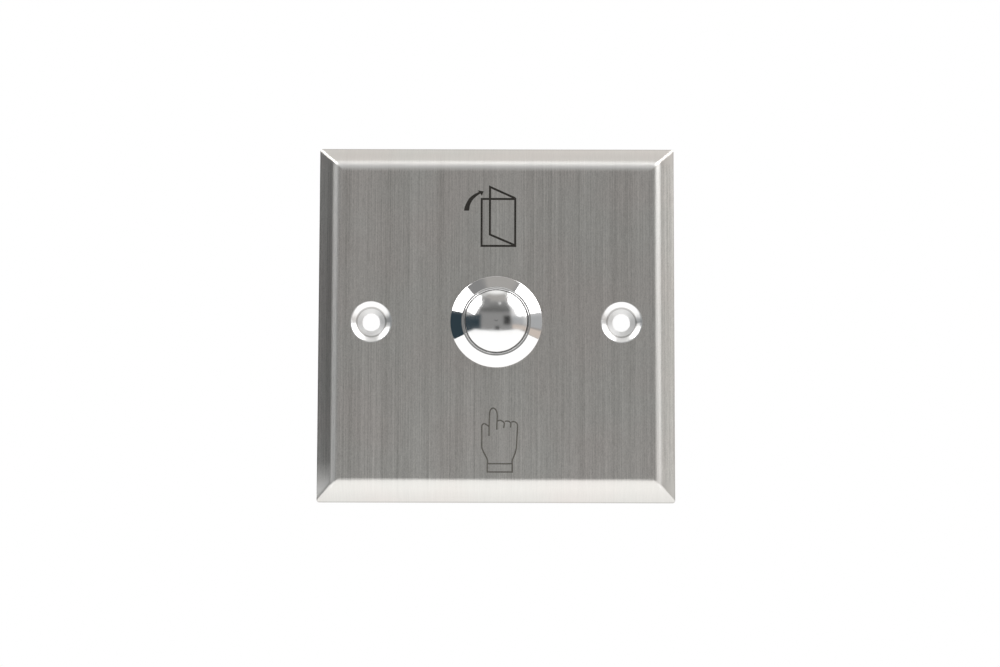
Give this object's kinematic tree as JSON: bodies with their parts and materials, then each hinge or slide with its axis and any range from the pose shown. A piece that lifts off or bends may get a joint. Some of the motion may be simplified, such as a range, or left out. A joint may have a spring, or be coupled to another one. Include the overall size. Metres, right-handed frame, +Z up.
{
  "type": "door exit button",
  "caption": "Square bevelled stainless wall plate with a domed metal push button in the middle, two sunk screw holes and a normally open switch with screw terminals behind.",
  "frame": {"origin": "middle of the plate's rim, on the wall plane", "axes": "+Z up, +X to the right seen from the front, +Y into the wall, so the button faces -Y"},
  "size_m": [0.086, 0.0256, 0.086],
  "materials": {
    "brushed_plate": "vertical brushed stainless steel, formed parts polished",
    "polished_bezel": "polished stainless steel",
    "polished_cap": "polished stainless steel",
    "nickel_nut": "nickel plated brass, satin",
    "spring_steel": "drawn spring wire",
    "zinc_screws": "zinc plated",
    "tinned_strip": "tinned brass strip",
    "contact_points": "silver faced contact points",
    "copper_bridge": "copper alloy strip",
    "black_body": "black moulded plastic, fine grain",
    "white_plunger": "natural moulded plastic",
    "black_seal": "matt sealing rubber"
  },
  "bodies": {
    "plate_unit": {"face_plate": "brushed_plate", "bezel_housing": "polished_bezel", "panel_seal": "black_seal", "lock_washer": "zinc_screws", "lock_nut": "nickel_nut", "chamber_cover": "black_body", "switch_base": "black_body", "no_terminal": "tinned_strip", "com_terminal": "tinned_strip", "fixed_contacts": "contact_points", "terminal_screws": "zinc_screws", "wire_clamps": "zinc_screws", "base_seal": "black_seal", "return_spring": "spring_steel"},
    "push_button": {"push_cap": "polished_cap", "cap_seal": "black_seal", "cap_clip": "spring_steel", "plunger": "white_plunger", "stem_clip": "spring_steel", "bridge_spring": "spring_steel"},
    "bridge": {"contact_bridge": "copper_bridge", "moving_contacts": "contact_points"}
  },
  "joints": [
    {"name": "cap_press", "type": "slide", "parent": "plate_unit", "child": "push_button", "axis": [0, 1, 0], "range_m": [0, 0.0025], "stiffness_N_per_m": 800, "springref_m": -0.003, "deforming": ["return_spring"]},
    {"name": "bridge_lag", "type": "slide", "parent": "push_button", "child": "bridge", "axis": [0, 1, 0], "range_m": [-0.00083, 0], "deforming": ["bridge_spring"]}
  ],
  "couplings": [
    {"joint": "bridge_lag", "follows": "cap_press", "ratio": -0.33}
  ]
}
